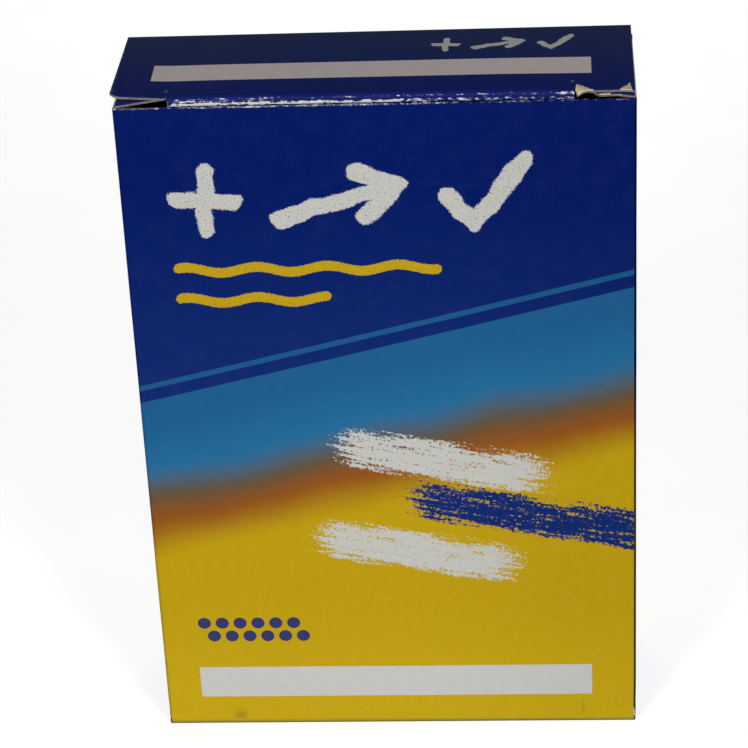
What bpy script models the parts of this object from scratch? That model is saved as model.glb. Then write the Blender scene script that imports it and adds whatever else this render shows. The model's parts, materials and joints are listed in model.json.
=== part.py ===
"""Tuck-end folding carton with paper-wrapped wax marking crayons in two nested rows.

Metres, +Z up. The carton stands on its bottom lid, its front panel faces -Y and the origin
is the middle of its footprint. Both ends close alike: two dust flaps fold in from the side
panels, and a lid folds over them and is tucked in by the flap on its free edge. The top
lid hangs on the back panel and the bottom lid on the front panel.
"""

import math

import bpy

MM = 0.001

# Crayon
WAX_DIAMETER = 11.0 * MM
CRAYON_LENGTH = 112.0 * MM
CONE_LENGTH = 13.5 * MM
TIP_DIAMETER = 2.6 * MM
TIP_HEIGHT = 0.7 * MM
COLLAR_LENGTH = 7.5 * MM  # bare wax between cone and wrapper
BUTT_LENGTH = 3.0 * MM  # bare wax below the wrapper
BUTT_CHAMFER = 0.6 * MM
WRAPPER_WALL = 0.14 * MM
WRAPPER_FIT = 0.06 * MM  # between wax and wrapper

# Packing
CRAYONS_PER_ROW = 6
IN_ROW_GAP = 1.15 * MM
ROW_GAP = 0.32 * MM  # between a crayon and its neighbours in the other row
WALL_PLAY = 0.3 * MM  # between crayons and carton walls
HEADROOM = 5.2 * MM  # between crayon tips and top dust flaps

# Carton board and its creases
BOARD = 0.5 * MM
CREASE_GAP = 0.3 * MM
TUCK_EDGE_DROP = 1.9 * MM  # from a lid's outer face to the panel that its flap goes behind
LID_SIDE_INSET = 0.2 * MM
SLIT_LENGTH = 8.8 * MM  # cut from each end of a tuck flap's fold
SLIT_CLEARANCE = 0.4 * MM
TUCK_REACH = 10.0 * MM
TUCK_ROUND = 4.0 * MM
TOP_TUCK_LEAN = math.radians(6.0)
BOTTOM_TUCK_LEAN = math.radians(3.0)
DUST_REACH = 17.0 * MM
DUST_ROUND = 2.5 * MM
DUST_FRONT_TAPER = math.radians(13.5)
DUST_HINGE_CLEARANCE = 1.3 * MM  # from a lid's hinge to the dust flaps' back corners
DUST_FOLLOW = 0.5  # dust flap turn for each turn of the lid, which sets the back taper
TOP_DUST_SLOPE = math.radians(3.0)
BOTTOM_DUST_SLOPE = 0.0
GLUE_FLAP_WIDTH = 11.0 * MM
GLUE_FLAP_END_CLEARANCE = 3.5 * MM  # past the reach of the tuck flaps
GLUE_FLAP_CHAMFER = 6.0 * MM

# Smoothness
ROUND_STEPS = 24
ARC_STEPS = 5
DOME_STEPS = 2
MERGE_DISTANCE = 0.01 * MM

# Sizes worked out from the values above
wax_radius = WAX_DIAMETER / 2
crayon_radius = wax_radius + WRAPPER_FIT + WRAPPER_WALL
crayon_pitch = 2 * crayon_radius + IN_ROW_GAP
row_shift = crayon_pitch / 2
row_spacing = math.sqrt((2 * crayon_radius + ROW_GAP) ** 2 - row_shift**2)
row_length = (CRAYONS_PER_ROW - 1) * crayon_pitch + row_shift
tuck_stack = CREASE_GAP + BOARD
back_play = tuck_stack + TUCK_REACH * math.sin(BOTTOM_TUCK_LEAN) + WALL_PLAY
carton_width = row_length + 2 * (crayon_radius + WALL_PLAY + BOARD)
carton_depth = 2 * crayon_radius + row_spacing + WALL_PLAY + back_play + 2 * BOARD


def dust_drop(slope):
    """How far the dust flaps' creases lie inside the lid's outer face."""
    return BOARD + CREASE_GAP + DUST_REACH * math.sin(slope)


def past_dust_flap(slope):
    """How far inside the lid's outer face a piece next to a dust flap's inner face begins."""
    return dust_drop(slope) + BOARD + CREASE_GAP


past_lid = BOARD + CREASE_GAP
dust_floor = past_dust_flap(BOTTOM_DUST_SLOPE)
carton_height = dust_floor + CRAYON_LENGTH + HEADROOM + BOARD + dust_drop(TOP_DUST_SLOPE)

half_width = carton_width / 2
half_depth = carton_depth / 2
slit_inner = half_width - SLIT_LENGTH
tuck_axis_reach = carton_depth - BOARD - tuck_stack


def clear_scene():
    for old in list(bpy.data.objects):
        bpy.data.objects.remove(old)


def new_collection(name):
    collection = bpy.data.collections.new(name)
    bpy.context.scene.collection.children.link(collection)
    return collection


def srgb(red, green, blue):
    """Linear colour of 8-bit display values."""
    shares = [value / 255 for value in (red, green, blue)]
    linear = [s / 12.92 if s <= 0.04045 else ((s + 0.055) / 1.055) ** 2.4 for s in shares]
    return (*linear, 1.0)


def finish_material(name, colour, roughness, metallic=0.0):
    material = bpy.data.materials.new(name)
    material.use_nodes = True
    shader = material.node_tree.nodes["Principled BSDF"]
    shader.inputs["Base Color"].default_value = colour
    shader.inputs["Roughness"].default_value = roughness
    shader.inputs["Metallic"].default_value = metallic
    return material


clear_scene()
carton = new_collection("marking_crayon_carton")
printed_board = finish_material("printed_board", srgb(10, 32, 100), 0.35)
raw_board = finish_material("raw_board", srgb(170, 165, 150), 0.85)
white_wax = finish_material("white_wax", srgb(225, 224, 216), 0.5)
wrapper_paper = finish_material("wrapper_paper", srgb(19, 38, 106), 0.6)


def place(obj, location, parent):
    carton.objects.link(obj)
    obj.location = location
    obj.parent = parent
    return obj


def pivot(name, location, turn=(0.0, 0.0, 0.0), parent=None):
    """An empty whose X axis is a crease line, or which carries one end of the carton."""
    empty = bpy.data.objects.new(name, None)
    empty.empty_display_size = DUST_REACH / 2
    empty.rotation_euler = turn
    return place(empty, location, parent)


def rounded(corners):
    """Outline points of a polygon whose corners are (x, y, radius)."""
    points = []
    for index, (x, y, radius) in enumerate(corners):
        if radius == 0:
            points.append((x, y))
            continue
        before = corners[index - 1]
        after = corners[(index + 1) % len(corners)]
        angle_in = math.atan2(before[1] - y, before[0] - x)
        angle_out = math.atan2(after[1] - y, after[0] - x)
        spread = (angle_out - angle_in + math.pi) % (2 * math.pi) - math.pi
        to_centre = radius / abs(math.sin(spread / 2))
        middle = angle_in + spread / 2
        centre = (x + to_centre * math.cos(middle), y + to_centre * math.sin(middle))
        sweep = math.copysign(math.pi - abs(spread), spread)
        for step in range(ARC_STEPS + 1):
            angle = middle + math.pi + sweep * (0.5 - step / ARC_STEPS)
            points.append((centre[0] + radius * math.cos(angle), centre[1] + radius * math.sin(angle)))
    return points


def plate(name, outline, thickness, material, location=(0, 0, 0), parent=None):
    """A flat sheet, centred through its thickness on the local XY plane."""
    curve = bpy.data.curves.new(name, "CURVE")
    curve.dimensions = "2D"
    curve.fill_mode = "BOTH"
    curve.extrude = thickness / 2
    spline = curve.splines.new("POLY")
    spline.points.add(len(outline) - 1)
    for point, (x, y) in zip(spline.points, outline):
        point.co = (x, y, 0, 1)
    spline.use_cyclic_u = True
    curve.materials.append(material)
    return place(bpy.data.objects.new(name, curve), location, parent)


def turned(name, profile, closed, material, location):
    """A round piece about its own Z axis; the profile's (radius, height) points run downwards."""
    mesh = bpy.data.meshes.new(name)
    last = len(profile) - 1
    edges = [(i, i + 1) for i in range(last)]
    if closed:
        edges.append((last, 0))
    mesh.from_pydata([(radius, 0, height) for radius, height in profile], edges, [])
    mesh.materials.append(material)
    obj = place(bpy.data.objects.new(name, mesh), location, None)
    screw = obj.modifiers.new("turn", "SCREW")
    screw.steps = ROUND_STEPS
    screw.render_steps = ROUND_STEPS
    screw.use_merge_vertices = True
    screw.merge_threshold = MERGE_DISTANCE
    screw.use_smooth_shade = True
    return obj


def wall(name, half_run, turn, offset, low, high):
    """An upright panel, mitred at its side creases, that faces -Y before it is turned."""
    crease = CREASE_GAP / math.sqrt(2)
    outer = half_run - crease
    inner = outer - BOARD
    outline = [(-outer, -offset), (outer, -offset), (inner, BOARD - offset), (-inner, BOARD - offset)]
    panel = plate(name, outline, high - low, printed_board, (0, 0, (low + high) / 2))
    panel.rotation_euler = (0, 0, turn)
    return panel


def build_walls():
    front_high = carton_height - TUCK_EDGE_DROP
    back_high = carton_height - past_lid
    side_high = carton_height - past_dust_flap(TOP_DUST_SLOPE)
    wall("front_panel", half_width, 0, half_depth, past_lid, front_high)
    wall("back_panel", half_width, math.pi, half_depth, TUCK_EDGE_DROP, back_high)
    wall("right_panel", half_depth, math.pi / 2, half_width, dust_floor, side_high)
    wall("left_panel", half_depth, -math.pi / 2, half_width, dust_floor, side_high)


def build_glue_flap():
    """The strip inside the left rear edge that closes the sleeve, glued to the back panel."""
    outer_x = -half_width + BOARD + CREASE_GAP
    inner_x = outer_x + GLUE_FLAP_WIDTH
    low = BOARD + TUCK_REACH + GLUE_FLAP_END_CLEARANCE
    high = carton_height - low
    outline = [
        (outer_x, low),
        (inner_x, low + GLUE_FLAP_CHAMFER),
        (inner_x, high - GLUE_FLAP_CHAMFER),
        (outer_x, high),
    ]
    y = half_depth - BOARD - CREASE_GAP - BOARD / 2
    flap = plate("glue_flap", outline, BOARD, raw_board, (0, y, 0))
    flap.rotation_euler = (math.pi / 2, 0, 0)


def lid_outline():
    """Reach runs from the hinge; the ends pass the slits, the middle stops at the tuck fold."""
    half = half_width - LID_SIDE_INSET
    fold = tuck_axis_reach - CREASE_GAP
    right = [(slit_inner, fold), (slit_inner, carton_depth), (half, carton_depth), (half, 0)]
    return [(-x, reach) for x, reach in reversed(right)] + right


def tuck_outline():
    half = slit_inner - SLIT_CLEARANCE
    corners = [(-half, 0, 0), (half, 0, 0), (half, TUCK_REACH, TUCK_ROUND), (-half, TUCK_REACH, TUCK_ROUND)]
    return rounded(corners)


def dust_outline(side):
    """Across the flap, positive x is towards the tuck edge on side 1 and away from it on side -1."""
    tuck_edge = half_depth - BOARD - CREASE_GAP
    hinge_edge = half_depth - DUST_HINGE_CLEARANCE
    tuck_end = tuck_edge - DUST_REACH * math.tan(DUST_FRONT_TAPER)
    hinge_end = hinge_edge - DUST_REACH * DUST_FOLLOW
    corners = [
        (side * tuck_edge, 0, 0),
        (side * tuck_end, DUST_REACH, DUST_ROUND),
        (-side * hinge_end, DUST_REACH, DUST_ROUND),
        (-side * hinge_edge, 0, 0),
    ]
    return rounded(corners)


def build_end(end, end_pivot, tuck_lean, dust_slope):
    """Lid, tuck flap and dust flaps, in a frame whose +Z leaves the carton and -Y is the tuck side."""
    lid_hinge = pivot(f"{end}_lid_hinge", (0, half_depth, 0), (math.pi, 0, 0), end_pivot)
    plate(f"{end}_lid", lid_outline(), BOARD, printed_board, (0, 0, BOARD / 2), lid_hinge)
    tuck_turn = (math.pi / 2 + tuck_lean, 0, 0)
    tuck_hinge = pivot(f"{end}_tuck_hinge", (0, tuck_axis_reach, BOARD), tuck_turn, lid_hinge)
    plate(f"{end}_tuck_flap", tuck_outline(), BOARD, printed_board, (0, 0, -BOARD / 2), tuck_hinge)
    for x_side in (-1, 1):
        name = f"{end}_dust_flap_{'left' if x_side < 0 else 'right'}"
        crease = (x_side * half_width, 0, -dust_drop(dust_slope))
        dust_turn = (dust_slope, 0, x_side * math.pi / 2)
        dust_hinge = pivot(f"{name}_hinge", crease, dust_turn, end_pivot)
        plate(name, dust_outline(-x_side), BOARD, printed_board, (0, 0, -BOARD / 2), dust_hinge)


def wax_profile():
    shoulder = CRAYON_LENGTH - CONE_LENGTH
    tip_radius = TIP_DIAMETER / 2
    dome = []
    for step in range(DOME_STEPS + 1):
        angle = step / DOME_STEPS * math.pi / 2
        height = CRAYON_LENGTH - TIP_HEIGHT * (1 - math.cos(angle))
        dome.append((tip_radius * math.sin(angle), height))
    butt = [(wax_radius, BUTT_CHAMFER), (wax_radius - BUTT_CHAMFER, 0), (0, 0)]
    return dome + [(wax_radius, shoulder)] + butt


def wrapper_profile():
    inner = wax_radius + WRAPPER_FIT
    top = CRAYON_LENGTH - CONE_LENGTH - COLLAR_LENGTH
    return [(crayon_radius, top), (crayon_radius, BUTT_LENGTH), (inner, BUTT_LENGTH), (inner, top)]


def crayon_places():
    """Centre and foot of each crayon: the front row from left to right, then the back row."""
    left = -row_length / 2
    front_y = -half_depth + BOARD + WALL_PLAY + crayon_radius
    flap_end = half_width - DUST_REACH - CREASE_GAP
    for shift, y in ((0, front_y), (row_shift, front_y + row_spacing)):
        for column in range(CRAYONS_PER_ROW):
            x = left + shift + column * crayon_pitch
            on_dust_flap = abs(x) + wax_radius > flap_end
            yield x, y, dust_floor if on_dust_flap else past_lid


def build_crayons():
    for number, spot in enumerate(crayon_places(), 1):
        turned(f"wax_stick_{number:02d}", wax_profile(), False, white_wax, spot)
        turned(f"paper_wrapper_{number:02d}", wrapper_profile(), True, wrapper_paper, spot)


build_walls()
build_glue_flap()
build_end("top", pivot("top_end", (0, 0, carton_height)), TOP_TUCK_LEAN, TOP_DUST_SLOPE)
build_end("bottom", pivot("bottom_end", (0, 0, 0), (math.pi, 0, 0)), BOTTOM_TUCK_LEAN, BOTTOM_DUST_SLOPE)
build_crayons()
print(f"carton {carton_width / MM:.2f} x {carton_depth / MM:.2f} x {carton_height / MM:.2f} mm")
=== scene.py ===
import json
import math

import bpy
import numpy as np
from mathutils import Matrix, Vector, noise


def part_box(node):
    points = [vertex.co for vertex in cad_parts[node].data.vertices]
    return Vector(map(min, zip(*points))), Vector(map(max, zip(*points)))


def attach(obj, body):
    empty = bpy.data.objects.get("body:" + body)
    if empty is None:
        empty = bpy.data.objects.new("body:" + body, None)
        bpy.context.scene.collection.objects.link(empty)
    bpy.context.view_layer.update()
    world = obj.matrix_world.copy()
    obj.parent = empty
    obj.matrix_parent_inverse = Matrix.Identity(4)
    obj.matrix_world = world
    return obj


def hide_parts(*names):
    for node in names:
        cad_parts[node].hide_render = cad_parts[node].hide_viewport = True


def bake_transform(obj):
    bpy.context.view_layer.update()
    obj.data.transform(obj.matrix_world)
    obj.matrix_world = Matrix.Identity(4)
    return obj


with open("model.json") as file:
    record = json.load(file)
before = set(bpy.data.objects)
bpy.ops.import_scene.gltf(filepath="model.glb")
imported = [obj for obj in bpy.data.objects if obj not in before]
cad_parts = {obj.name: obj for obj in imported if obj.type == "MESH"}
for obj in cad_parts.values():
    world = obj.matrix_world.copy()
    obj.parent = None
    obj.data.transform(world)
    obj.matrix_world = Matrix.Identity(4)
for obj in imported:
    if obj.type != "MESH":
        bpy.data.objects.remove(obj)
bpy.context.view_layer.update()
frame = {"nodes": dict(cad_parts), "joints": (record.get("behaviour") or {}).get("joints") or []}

# Sizes are in millimetres and become metres when a mesh is made.
MM = 0.001


def corners(node):
    """Lowest and highest corner of a CAD node."""
    return [np.array(corner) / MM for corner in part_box(node)]


def joint_axis(name):
    """The place of a joint's axis."""
    joint = next(joint for joint in frame["joints"] if joint["name"] == name)
    return np.array(joint["pos_m"]) / MM


# Carton sizes, from the frame
front_low, front_high = corners("front_panel")
back_low, back_high = corners("back_panel")
side_low, side_high = corners("right_panel")
glue_low, glue_high = corners("glue_flap")
lid_high = corners("top_lid")[1]
half_width = side_high[0]
half_depth = back_high[1]
height = lid_high[2]
board_wall = front_high[1] - front_low[1]
tuck_half = corners("top_tuck_flap")[1][0]

# Board folds
CREASE_RADIUS = 0.8  # outer face, at the sleeve's corners
HINGE_RADIUS = 0.55  # outer face, at the lids' and the dust flaps' creases
CREASE_START = 1.2  # from a lid's outer face down to where its own board begins
CUT_ROUND = 0.07  # rounding of a cut edge
PRINT_LIP = 0.12  # depth to which the print shows at a cut edge
GLUE_LINE = 0.04
GLUE_CHAMFER = 6.0
BACK_EDGE_INSET = 0.12  # the back panel's free edge, inside the left panel's face
FLAP_CLEARANCE = 0.3  # between a flap and the panel beside it
ROLL_RADIUS = 1.0
ROLL_FRONT_INSET = 0.1  # from the panel's outer plane to the rolled fold
ROLL_TURN = math.radians(150)
RETURN_RADIUS = 0.5
TUCK_REACH = 10.0
TUCK_ROUND = 4.0
TUCK_BEND = (0.5, 1.3)  # how far in and down from its axis the tuck flap is past its bend
DUST_REACH = 17.0
DUST_ROUND = 2.5
DUST_FRONT_TAPER = math.tan(math.radians(13.5))
DUST_HINGE_TAPER = 0.5
DUST_HINGE_INSET = 1.3  # from the outer plane by the lid's hinge to a dust flap's edge
SLIT_GAP = 0.4
LID_INSET = 0.1  # from the carton's sides to a lid's cut ends
LID_SHIFT = 0.15  # the top lid sits a little to the left
ENDS = {
    "top": {"turn": 1, "lean": math.radians(6), "slope": math.radians(3), "tuck_middle": -0.45},
    "bottom": {"turn": -1, "lean": math.radians(3), "slope": 0.0, "tuck_middle": 0.0},
}

CAMERA_PLACE = (27.430, -424.644, 306.605)
CAMERA_TURN = (60.274, 2.474, 2.653)
CAMERA_LENS = 139.77


# Colours as they show in the photograph, divided by the light that falls on the front

FRONT_LIGHT = 0.66
PALEST = 0.95  # no base colour is paler


def ink(red, green, blue):
    """Linear base colour that shows as these 8-bit display values on the lit front."""
    shares = [value / 255 for value in (red, green, blue)]
    linear = [s / 12.92 if s <= 0.04045 else ((s + 0.055) / 1.055) ** 2.4 for s in shares]
    return (*[min(value / FRONT_LIGHT, PALEST) for value in linear], 1.0)


BLACK = (0.0, 0.0, 0.0, 1.0)
DEEP_BLUE = ink(0, 21, 91)
MID_BLUE = ink(14, 40, 106)
SIDE_BLUE = ink(10, 22, 84)
LID_BLUE = ink(18, 34, 90)
LID_FRONT_BLUE = ink(9, 27, 98)
# Painted reflection: the lid shows greyer towards its back, as a dim sheen on its varnish
LID_BACK_SHEEN = ink(28, 42, 84)
ROLL_BLUE = ink(8, 18, 96)
LIGHT_BLUE = ink(33, 104, 148)
HAZE_BLUE = tuple(0.65 * light + 0.35 * mid for light, mid in zip(LIGHT_BLUE, MID_BLUE))
# Painted shade on the front corners' creases, dark blue higher up
CREASE_SHADE_BLUE = ink(2, 12, 56)
WRAPPER_BLUE = ink(12, 30, 98)
WRAPPER_PALE = ink(24, 46, 118)
UMBER = ink(94, 79, 54)
# Painted shade, brown, on the front corners' creases low down and at the ends of the foot's crease
CREASE_SHADE_BROWN = ink(62, 50, 30)
ORANGE = ink(140, 78, 24)
YELLOW = ink(182, 150, 14)
LOW_YELLOW = ink(190, 159, 20)
# Painted shade: the front's yellow darkening towards the foot's crease, and the olive line on the crease
FOOT_SHADE_YELLOW = ink(152, 134, 40)
FOOT_SHADE_OLIVE = ink(104, 94, 38)
# Darker olive over the front's lower dents
DENT_OLIVE = ink(70, 74, 40)
PAPER_WHITE = ink(193, 192, 188)
LID_WHITE = ink(194, 185, 183)
CHIP_WHITE = ink(214, 212, 206)
RUB_WHITE = ink(188, 188, 182)
WAX_LIGHT = ink(203, 202, 196)
WAX_DARK = ink(176, 175, 166)
WAX_STREAK = ink(150, 149, 140)
WAX_DUST = ink(96, 104, 132)
RAW_BOARD = ink(168, 160, 140)
RAW_DARK = ink(128, 121, 104)
EDGE_LIGHT = ink(128, 122, 112)
EDGE_DARK = ink(92, 88, 82)
TORN_BOARD = ink(196, 182, 156)


# Shader fields


def add_node(tree, kind, inputs, output=0, **settings):
    """One output of a new node, whose inputs are fields or constants."""
    node = tree.nodes.new(f"ShaderNode{kind}")
    for name, value in settings.items():
        setattr(node, name, value)
    for key, value in inputs.items():
        feed(node.inputs[key], value)
    return Field(node.outputs[output])


def feed(socket, value):
    """Links a socket to a field, or sets it to a constant."""
    if isinstance(value, Field):
        socket.id_data.links.new(value.socket, socket)
    else:
        socket.default_value = value


def tree_of(values):
    return next(value.tree for value in values if isinstance(value, Field))


def calculate(operation, *values, clamp=False):
    """One step of arithmetic with numbers, some of them fields."""
    settings = {"operation": operation, "use_clamp": clamp}
    return add_node(tree_of(values), "Math", dict(enumerate(values)), **settings)


def arithmetic(operation):
    return lambda first, second: calculate(operation, first, second)


class Field:
    """A number, vector or colour that varies over a surface: an output in a shader tree."""

    __add__ = arithmetic("ADD")
    __sub__ = arithmetic("SUBTRACT")
    __mul__ = arithmetic("MULTIPLY")
    __truediv__ = arithmetic("DIVIDE")

    def __init__(self, socket):
        self.socket = socket
        self.tree = socket.id_data

    def __abs__(self):
        return calculate("ABSOLUTE", self)

    def rise(self, low, high):
        """0 to 1 as the number passes from low to high, or back again where low is above high."""
        inputs = {"Value": self, "From Min": low, "From Max": high}
        return add_node(self.tree, "MapRange", inputs, interpolation_type="SMOOTHSTEP")

    def between(self, low, high, soft=0.06):
        """1 inside a range, 0 outside it."""
        return self.rise(low - soft, low + soft) * self.rise(high + soft, high - soft)

    def noise(self, scale, detail=3.0, rough=0.55, stretch=None):
        point = vector("MULTIPLY", self, stretch) if stretch else self
        inputs = {"Vector": point, "Scale": scale, "Detail": detail, "Roughness": rough}
        return add_node(self.tree, "TexNoise", inputs)

    def split(self):
        first = add_node(self.tree, "SeparateXYZ", {0: self})
        return [Field(output) for output in first.socket.node.outputs]


def most(first, second):
    return calculate("MAXIMUM", first, second)


def least(values):
    result = values[0]
    for value in values[1:]:
        result = calculate("MINIMUM", result, value)
    return result


def vector(operation, *values):
    """One step of arithmetic with vectors, some of them fields."""
    output = "Value" if operation in ("LENGTH", "DOT_PRODUCT") else "Vector"
    return add_node(tree_of(values), "VectorMath", dict(enumerate(values)), output, operation=operation)


def scaled(first, factor):
    inputs = {0: first, "Scale": factor}
    return add_node(tree_of((first, factor)), "VectorMath", inputs, operation="SCALE")


def join(x, y, z=0.0):
    return add_node(x.tree, "CombineXYZ", {0: x, 1: y, 2: z})


def mix(cover, first, second, blend="MIX"):
    inputs = {0: cover, 6: first, 7: second}
    return add_node(tree_of(inputs.values()), "Mix", inputs, 2, data_type="RGBA", blend_type=blend)


def paint(ground, *layers):
    """A ground with layers over it, each of them a cover from 0 to 1 and its colour."""
    for cover, colour in layers:
        ground = mix(cover, ground, colour)
    return ground


def shader(name, **constants):
    """A new material and its Principled shader with constant values set."""
    material = bpy.data.materials.new(name)
    material.use_nodes = True
    surface = material.node_tree.nodes["Principled BSDF"]
    for key, value in constants.items():
        feed(surface.inputs[key.replace("_", " ")], value)
    return material, surface


def sheet_point(surface):
    """Place on the flat sheet: across, along, and a number that differs by piece."""
    return add_node(surface.id_data, "Attribute", {}, "Vector", attribute_name="flat")


def coat(surface, colour, rough, relief, strength, depth):
    """Feeds a shader its colour, its roughness and a relief of some depth in millimetres."""
    inputs = {"Height": relief, "Strength": strength, "Distance": depth * MM}
    bump = add_node(surface.id_data, "Bump", inputs)
    for name, value in (("Base Color", colour), ("Roughness", rough), ("Normal", bump)):
        feed(surface.inputs[name], value)


# Printed motifs

MARK_STROKES = [
    ((-3.6, 0.2), (3.8, -0.3)),
    ((0.3, 3.9), (-0.2, -3.8)),
    ((9.0, -2.6), (23.5, 1.6)),
    ((23.5, 1.6), (18.3, 3.6)),
    ((23.5, 1.6), (19.4, -2.7)),
    ((29.2, 0.2), (32.4, -3.8)),
    ((32.4, -3.8), (38.6, 4.6)),
]
MARK_WIDTH = 1.15
MARKS = {  # where the first mark stands, the drawing's size and how fine its wax grain is
    "front": ((-27.5, 103.0), 1.32, 0.9),
    "side": ((-6.8, 103.0), 0.39, 1.1),
    "back": ((-17.5, 94.0), 1.0, 1.1),
    "lid": ((11.0, 5.6), 0.52, 1.0),
}
WAVES = [(90.5, -32.5, 9.0), (85.0, -32.5, -9.0)]  # level, left end and right end
WAVE_TURN = 0.55  # radians for each millimetre
WAVE_RISE = 0.5
WAVE_WIDTH = 0.95
SWATCHES = [
    ((-9.0, 57.5), (26.0, 50.5), RUB_WHITE),
    ((3.0, 47.0), (46.0, 38.5), MID_BLUE),
    ((-13.0, 39.5), (21.0, 32.8), RUB_WHITE),
]
SWATCH_HALF = 3.9
SWATCH_TIP = 4.0
DOTS_PLACE = (-33.4, 21.6)
DOTS_IN_ROW = 6
DOT_PITCH = 3.1
DOT_RADIUS = 1.15
ROW_PITCH = 0.87 * DOT_PITCH


def segment(point, start, end):
    """Distance from a point to a straight stroke."""
    run = np.subtract(end, start)
    offset = vector("SUBTRACT", point, (*start, 0))
    share = vector("DOT_PRODUCT", offset, (*(run / run.dot(run)), 0))
    nearest = scaled((*run, 0), calculate("ADD", share, 0.0, clamp=True))
    return vector("LENGTH", vector("SUBTRACT", offset, nearest))


def wax_marks():
    """Node group: distance from a point to a plus, an arrow and a tick drawn by hand."""
    group = bpy.data.node_groups.new("wax_marks", "ShaderNodeTree")
    group.interface.new_socket("Point", in_out="INPUT", socket_type="NodeSocketVector")
    group.interface.new_socket("Distance", in_out="OUTPUT", socket_type="NodeSocketFloat")
    point = Field(group.nodes.new("NodeGroupInput").outputs[0])
    inputs = {"Vector": point, "Scale": 0.35, "Detail": 1.0}
    wobble = vector("SUBTRACT", add_node(group, "TexNoise", inputs, "Color"), (0.5, 0.5, 0.5))
    x, y, _ = vector("ADD", point, scaled(wobble, 1.6)).split()
    bent = join(x, y)
    distance = least([segment(bent, start, end) for start, end in MARK_STROKES])
    feed(group.nodes.new("NodeGroupOutput").inputs[0], distance)
    return group


marks_group = wax_marks()


def waxy(point, distance, width, fine=1.0):
    """Cover of a wax stroke: broken grain in it and a ragged edge."""
    grain = point.noise(3.0 * fine, 4.0, 0.75)
    ragged = (grain - 0.5) * (0.8 * width) + distance
    return ragged.rise(width, width * 0.84) * point.noise(3.8 * fine, 3.0, 0.65).rise(0.32, 0.42)


def marks(point, side):
    """Cover of the wax marks on one side of the carton."""
    place, size, fine = MARKS[side]
    local = scaled(vector("SUBTRACT", point, (*place, 0)), 1 / size)
    distance = add_node(point.tree, "Group", {0: local}, node_tree=marks_group)
    return waxy(point, distance, MARK_WIDTH, fine)


def yellow_waves(point, x, y):
    """Cover of two wavy lines with rounded ends."""
    wave = calculate("SINE", x * WAVE_TURN) * WAVE_RISE
    found = []
    for level, left, right in WAVES:
        past = most(abs(x - (left + right) / 2) - (right - left) / 2, 0.0)
        found.append(vector("LENGTH", join(past, y - level - wave)))
    return waxy(point, least(found), WAVE_WIDTH)


def swatch(point, start, end):
    """Cover of one broad rub with the side of a crayon: dragged ends and dry streaks."""
    run = np.subtract(end, start)
    half_length = float(np.hypot(*run)) / 2
    offset = vector("SUBTRACT", point, (*start, 0))
    inputs = {"Vector": offset, "Angle": -math.atan2(run[1], run[0])}
    local = add_node(point.tree, "VectorRotate", inputs, rotation_type="Z_AXIS")
    x, y, _ = local.split()
    drag = local.noise(1.1, 4.0, 0.7, stretch=(0.09, 1.0, 1.0))
    grain = point.noise(1.7, 5.0, 0.75)
    rim = calculate("POWER", abs(y) / SWATCH_HALF, 4.0)
    tip = most((abs(x - half_length) - (half_length - SWATCH_TIP)) / SWATCH_TIP, 0.0)
    return ((drag + grain) * 0.5 - (rim + tip) * 0.1).rise(0.425, 0.455)


def dot_rows(x, y):
    """Cover of two nested rows of dots, as the crayons lie in the carton."""
    found = []
    for row in range(2):
        share = (x - (DOTS_PLACE[0] + row * DOT_PITCH / 2)) / DOT_PITCH
        number = least([most(calculate("FLOOR", share + 0.5), 0.0), DOTS_IN_ROW - 1.0])
        along = y - (DOTS_PLACE[1] - row * ROW_PITCH)
        found.append(vector("LENGTH", join((share - number) * DOT_PITCH, along)))
    return least(found).rise(DOT_RADIUS + 0.06, DOT_RADIUS - 0.06)


def on_sheet(point, place):
    """Offset from a place's middle or corner, in units of the place's own width and height."""
    left, low, wide, tall = place
    offset = vector("SUBTRACT", point, (left, low, 0))
    return vector("MULTIPLY", offset, (1 / wide, 1 / tall, 0))


def spot(point, place, soft):
    """Cover of a ragged oval: middle across and along, half width and half height."""
    away = vector("LENGTH", on_sheet(point, place))
    return (point.noise(1.2, 4.0, 0.65) * 0.9 + away).rise(1.44 + soft, 1.44 - soft)


# Worn print and bare board

# Flecks of worn print: scale, detail and roughness, then the scale and strength of their patches
FLECKS = (1.9, 4.0, 0.72, 0.24, 1.7)
# On the rolled fold, flecks that are partly chipped print and partly a painted glint
ROLL_FLECKS_AND_GLINTS = (2.5, 2.0, 0.5, 0.7, 1.9)
STREAKS = ((1.3, 0.6, 1.0), (0.6, 1.3, 1.0))  # stretch of flecks on lines along and across a sheet


def torn_corner(plane, point, place):
    """Cover of a ragged triangle: its square corner across and along, and its two signed legs."""
    offset = on_sheet(plane, place)
    offset = vector("MAXIMUM", offset, scaled(offset, -6.0))
    away = vector("DOT_PRODUCT", offset, (1, 1, 0))
    return (point.noise(1.6, 4.0, 0.65) * 0.7 + away).rise(1.40, 1.30)


def wear_along(begin, finish, first, last):
    """Amount of wear that passes from first to last between two places across the sheet."""
    return lambda x: x.rise(begin, finish) * (last - first) + first


def wear_and_glint_lines(point, x, y, axis, folds, flecks):
    """Chipped flecks along the worn lines of one direction, streaked the same way, with a paler halo of
    painted glint.
    """
    scale, detail, rough, patch_scale, patches = flecks
    near = 0.0
    for _, place, width, amount in [fold for fold in folds if fold[0] == axis]:
        if callable(amount):
            amount = amount(x)
        near = most(near, abs((x, y)[axis] - place).rise(width, 0.0) * amount)
    chips = point.noise(scale, detail, rough, stretch=STREAKS[axis])
    patchy = point.noise(patch_scale, 3.0, 0.6) * patches + (1 - patches / 2)
    wear = near * patchy + chips
    # The fainter second cover is a paler halo round the flecks: painted glint, as of light on worn
    # varnish.
    return most(wear.rise(0.87, 0.94), wear.rise(0.76, 0.92) * 0.34)


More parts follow.
